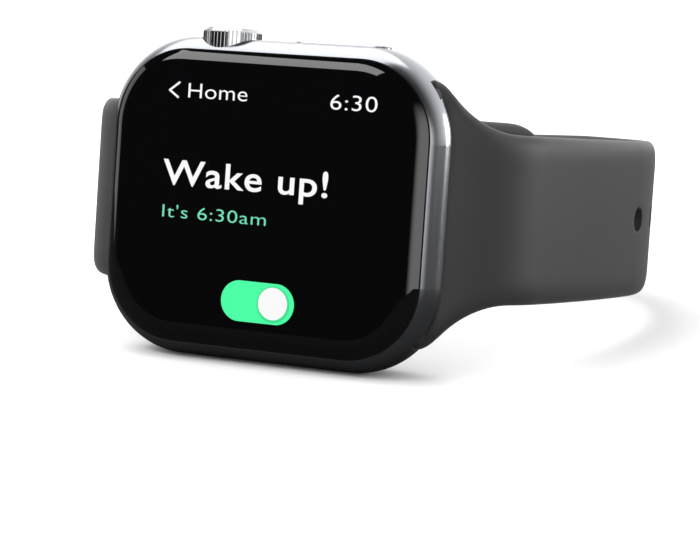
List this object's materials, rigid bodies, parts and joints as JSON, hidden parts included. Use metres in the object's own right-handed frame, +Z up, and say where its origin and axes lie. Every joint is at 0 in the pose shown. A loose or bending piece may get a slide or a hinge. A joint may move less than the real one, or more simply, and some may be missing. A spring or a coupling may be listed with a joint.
{
  "type": "smartwatch",
  "caption": "Rectangular smartwatch with rounded glass, knurled crown and side button, on a closed silicone strap, standing on its side as a bedside clock.",
  "frame": {"origin": "middle of the bounding box's base, on the table that the watch stands on", "axes": "+X along the case to the right as the display is read, +Y from the display to the back of the strap, +Z up; the case leans back by 7.3 degrees"},
  "size_m": [0.0636, 0.0724, 0.0393],
  "materials": {
    "case_metal": "polished grey",
    "front_glass": "polished clear, black behind",
    "display": "black",
    "back_ceramic": "polished black",
    "window_glass": "dark tinted",
    "steel": "polished",
    "crown_face": "gloss black",
    "strap_silicone": "matte dark grey",
    "seal_rubber": "black",
    "black_plastic": "black",
    "circuit_board": "green",
    "chip": "black",
    "copper": "enamelled copper",
    "ferrite": "dull grey",
    "battery_pouch": "dark wrapped foil",
    "flex": "amber film",
    "mesh_steel": "fine dark gauze",
    "led": "clear epoxy"
  },
  "bodies": {
    "case": {"case_shell": "case_metal", "front_crystal": "front_glass", "display_gasket": "seal_rubber", "display_panel": "display", "display_backplate": "steel", "display_connector": "flex", "midframe": "black_plastic", "system_board": "circuit_board", "board_screws": "steel", "system_package": "chip", "memory_chips": "chip", "battery": "battery_pouch", "haptic_housing": "steel", "haptic_springs": "steel", "speaker_housing": "black_plastic", "speaker_diaphragm": "flex", "speaker_mesh": "mesh_steel", "back_gasket": "seal_rubber", "back_crystal": "back_ceramic", "electrode_ring": "steel", "sensor_window": "window_glass", "sensor_baffle": "black_plastic", "sensor_leds": "led", "photodiodes": "chip", "sensor_board": "circuit_board", "alignment_magnet": "ferrite", "charge_coil": "copper", "ferrite_shield": "ferrite", "crown_sleeve": "steel", "crown_switch": "black_plastic", "crown_bracket": "steel", "crown_encoder": "chip", "button_switch": "black_plastic", "button_bracket": "steel", "microphone": "steel", "microphone_mesh": "mesh_steel"},
    "crown_plunger": {"crown_pushrod": "black_plastic"},
    "crown": {"crown_cap": "steel", "crown_disc": "crown_face", "crown_shaft": "steel", "crown_seals": "seal_rubber", "crown_clip": "steel"},
    "side_button": {"side_button": "case_metal", "button_bar": "steel"},
    "release_left": {"release_left": "case_metal"},
    "release_right": {"release_right": "case_metal"},
    "haptic_weight": {"haptic_mass": "steel"},
    "band": {"strap_right": "strap_silicone", "strap_left": "strap_silicone", "clasp_stud": "steel", "lug_rail_left": "black_plastic", "lug_rail_right": "black_plastic", "catch_spring_left": "steel", "catch_spring_right": "steel"},
    "catch_left": {"lug_catch_left": "steel"},
    "catch_right": {"lug_catch_right": "steel"}
  },
  "joints": [
    {"name": "crown_press", "type": "slide", "parent": "case", "child": "crown_plunger", "axis": [0, -0.1279, -0.9918], "range_m": [0, 0.0003], "stiffness_N_per_m": 1200},
    {"name": "crown_spin", "type": "hinge", "parent": "crown_plunger", "child": "crown", "pos_m": [-0.00794, -0.02736, 0.0363], "axis": [0, 0.1279, 0.9918], "continuous": true},
    {"name": "side_button_press", "type": "slide", "parent": "case", "child": "side_button", "axis": [0, -0.1279, -0.9918], "range_m": [0, 0.0003], "stiffness_N_per_m": 1200},
    {"name": "band_slide", "type": "slide", "parent": "case", "child": "band", "axis": [0, 0.1279, 0.9918], "range_m": [0, 0.031]},
    {"name": "haptic_shake", "type": "slide", "parent": "case", "child": "haptic_weight", "axis": [1, 0, 0], "range_m": [-0.0003, 0.0003], "stiffness_N_per_m": 1200, "deforming": ["haptic_springs"]},
    {"name": "release_left_press", "type": "slide", "parent": "case", "child": "release_left", "axis": [0, -0.9918, 0.1279], "range_m": [0, 0.00035], "stiffness_N_per_m": 40},
    {"name": "catch_left_slide", "type": "slide", "parent": "band", "child": "catch_left", "axis": [0, -0.9918, 0.1279], "range_m": [0, 0.00035], "stiffness_N_per_m": 40, "deforming": ["catch_spring_left"]},
    {"name": "release_right_press", "type": "slide", "parent": "case", "child": "release_right", "axis": [0, -0.9918, 0.1279], "range_m": [0, 0.00035], "stiffness_N_per_m": 40},
    {"name": "catch_right_slide", "type": "slide", "parent": "band", "child": "catch_right", "axis": [0, -0.9918, 0.1279], "range_m": [0, 0.00035], "stiffness_N_per_m": 40, "deforming": ["catch_spring_right"]}
  ],
  "couplings": [
    {"joint": "catch_left_slide", "follows": "release_left_press", "ratio": 1},
    {"joint": "catch_right_slide", "follows": "release_right_press", "ratio": 1}
  ]
}
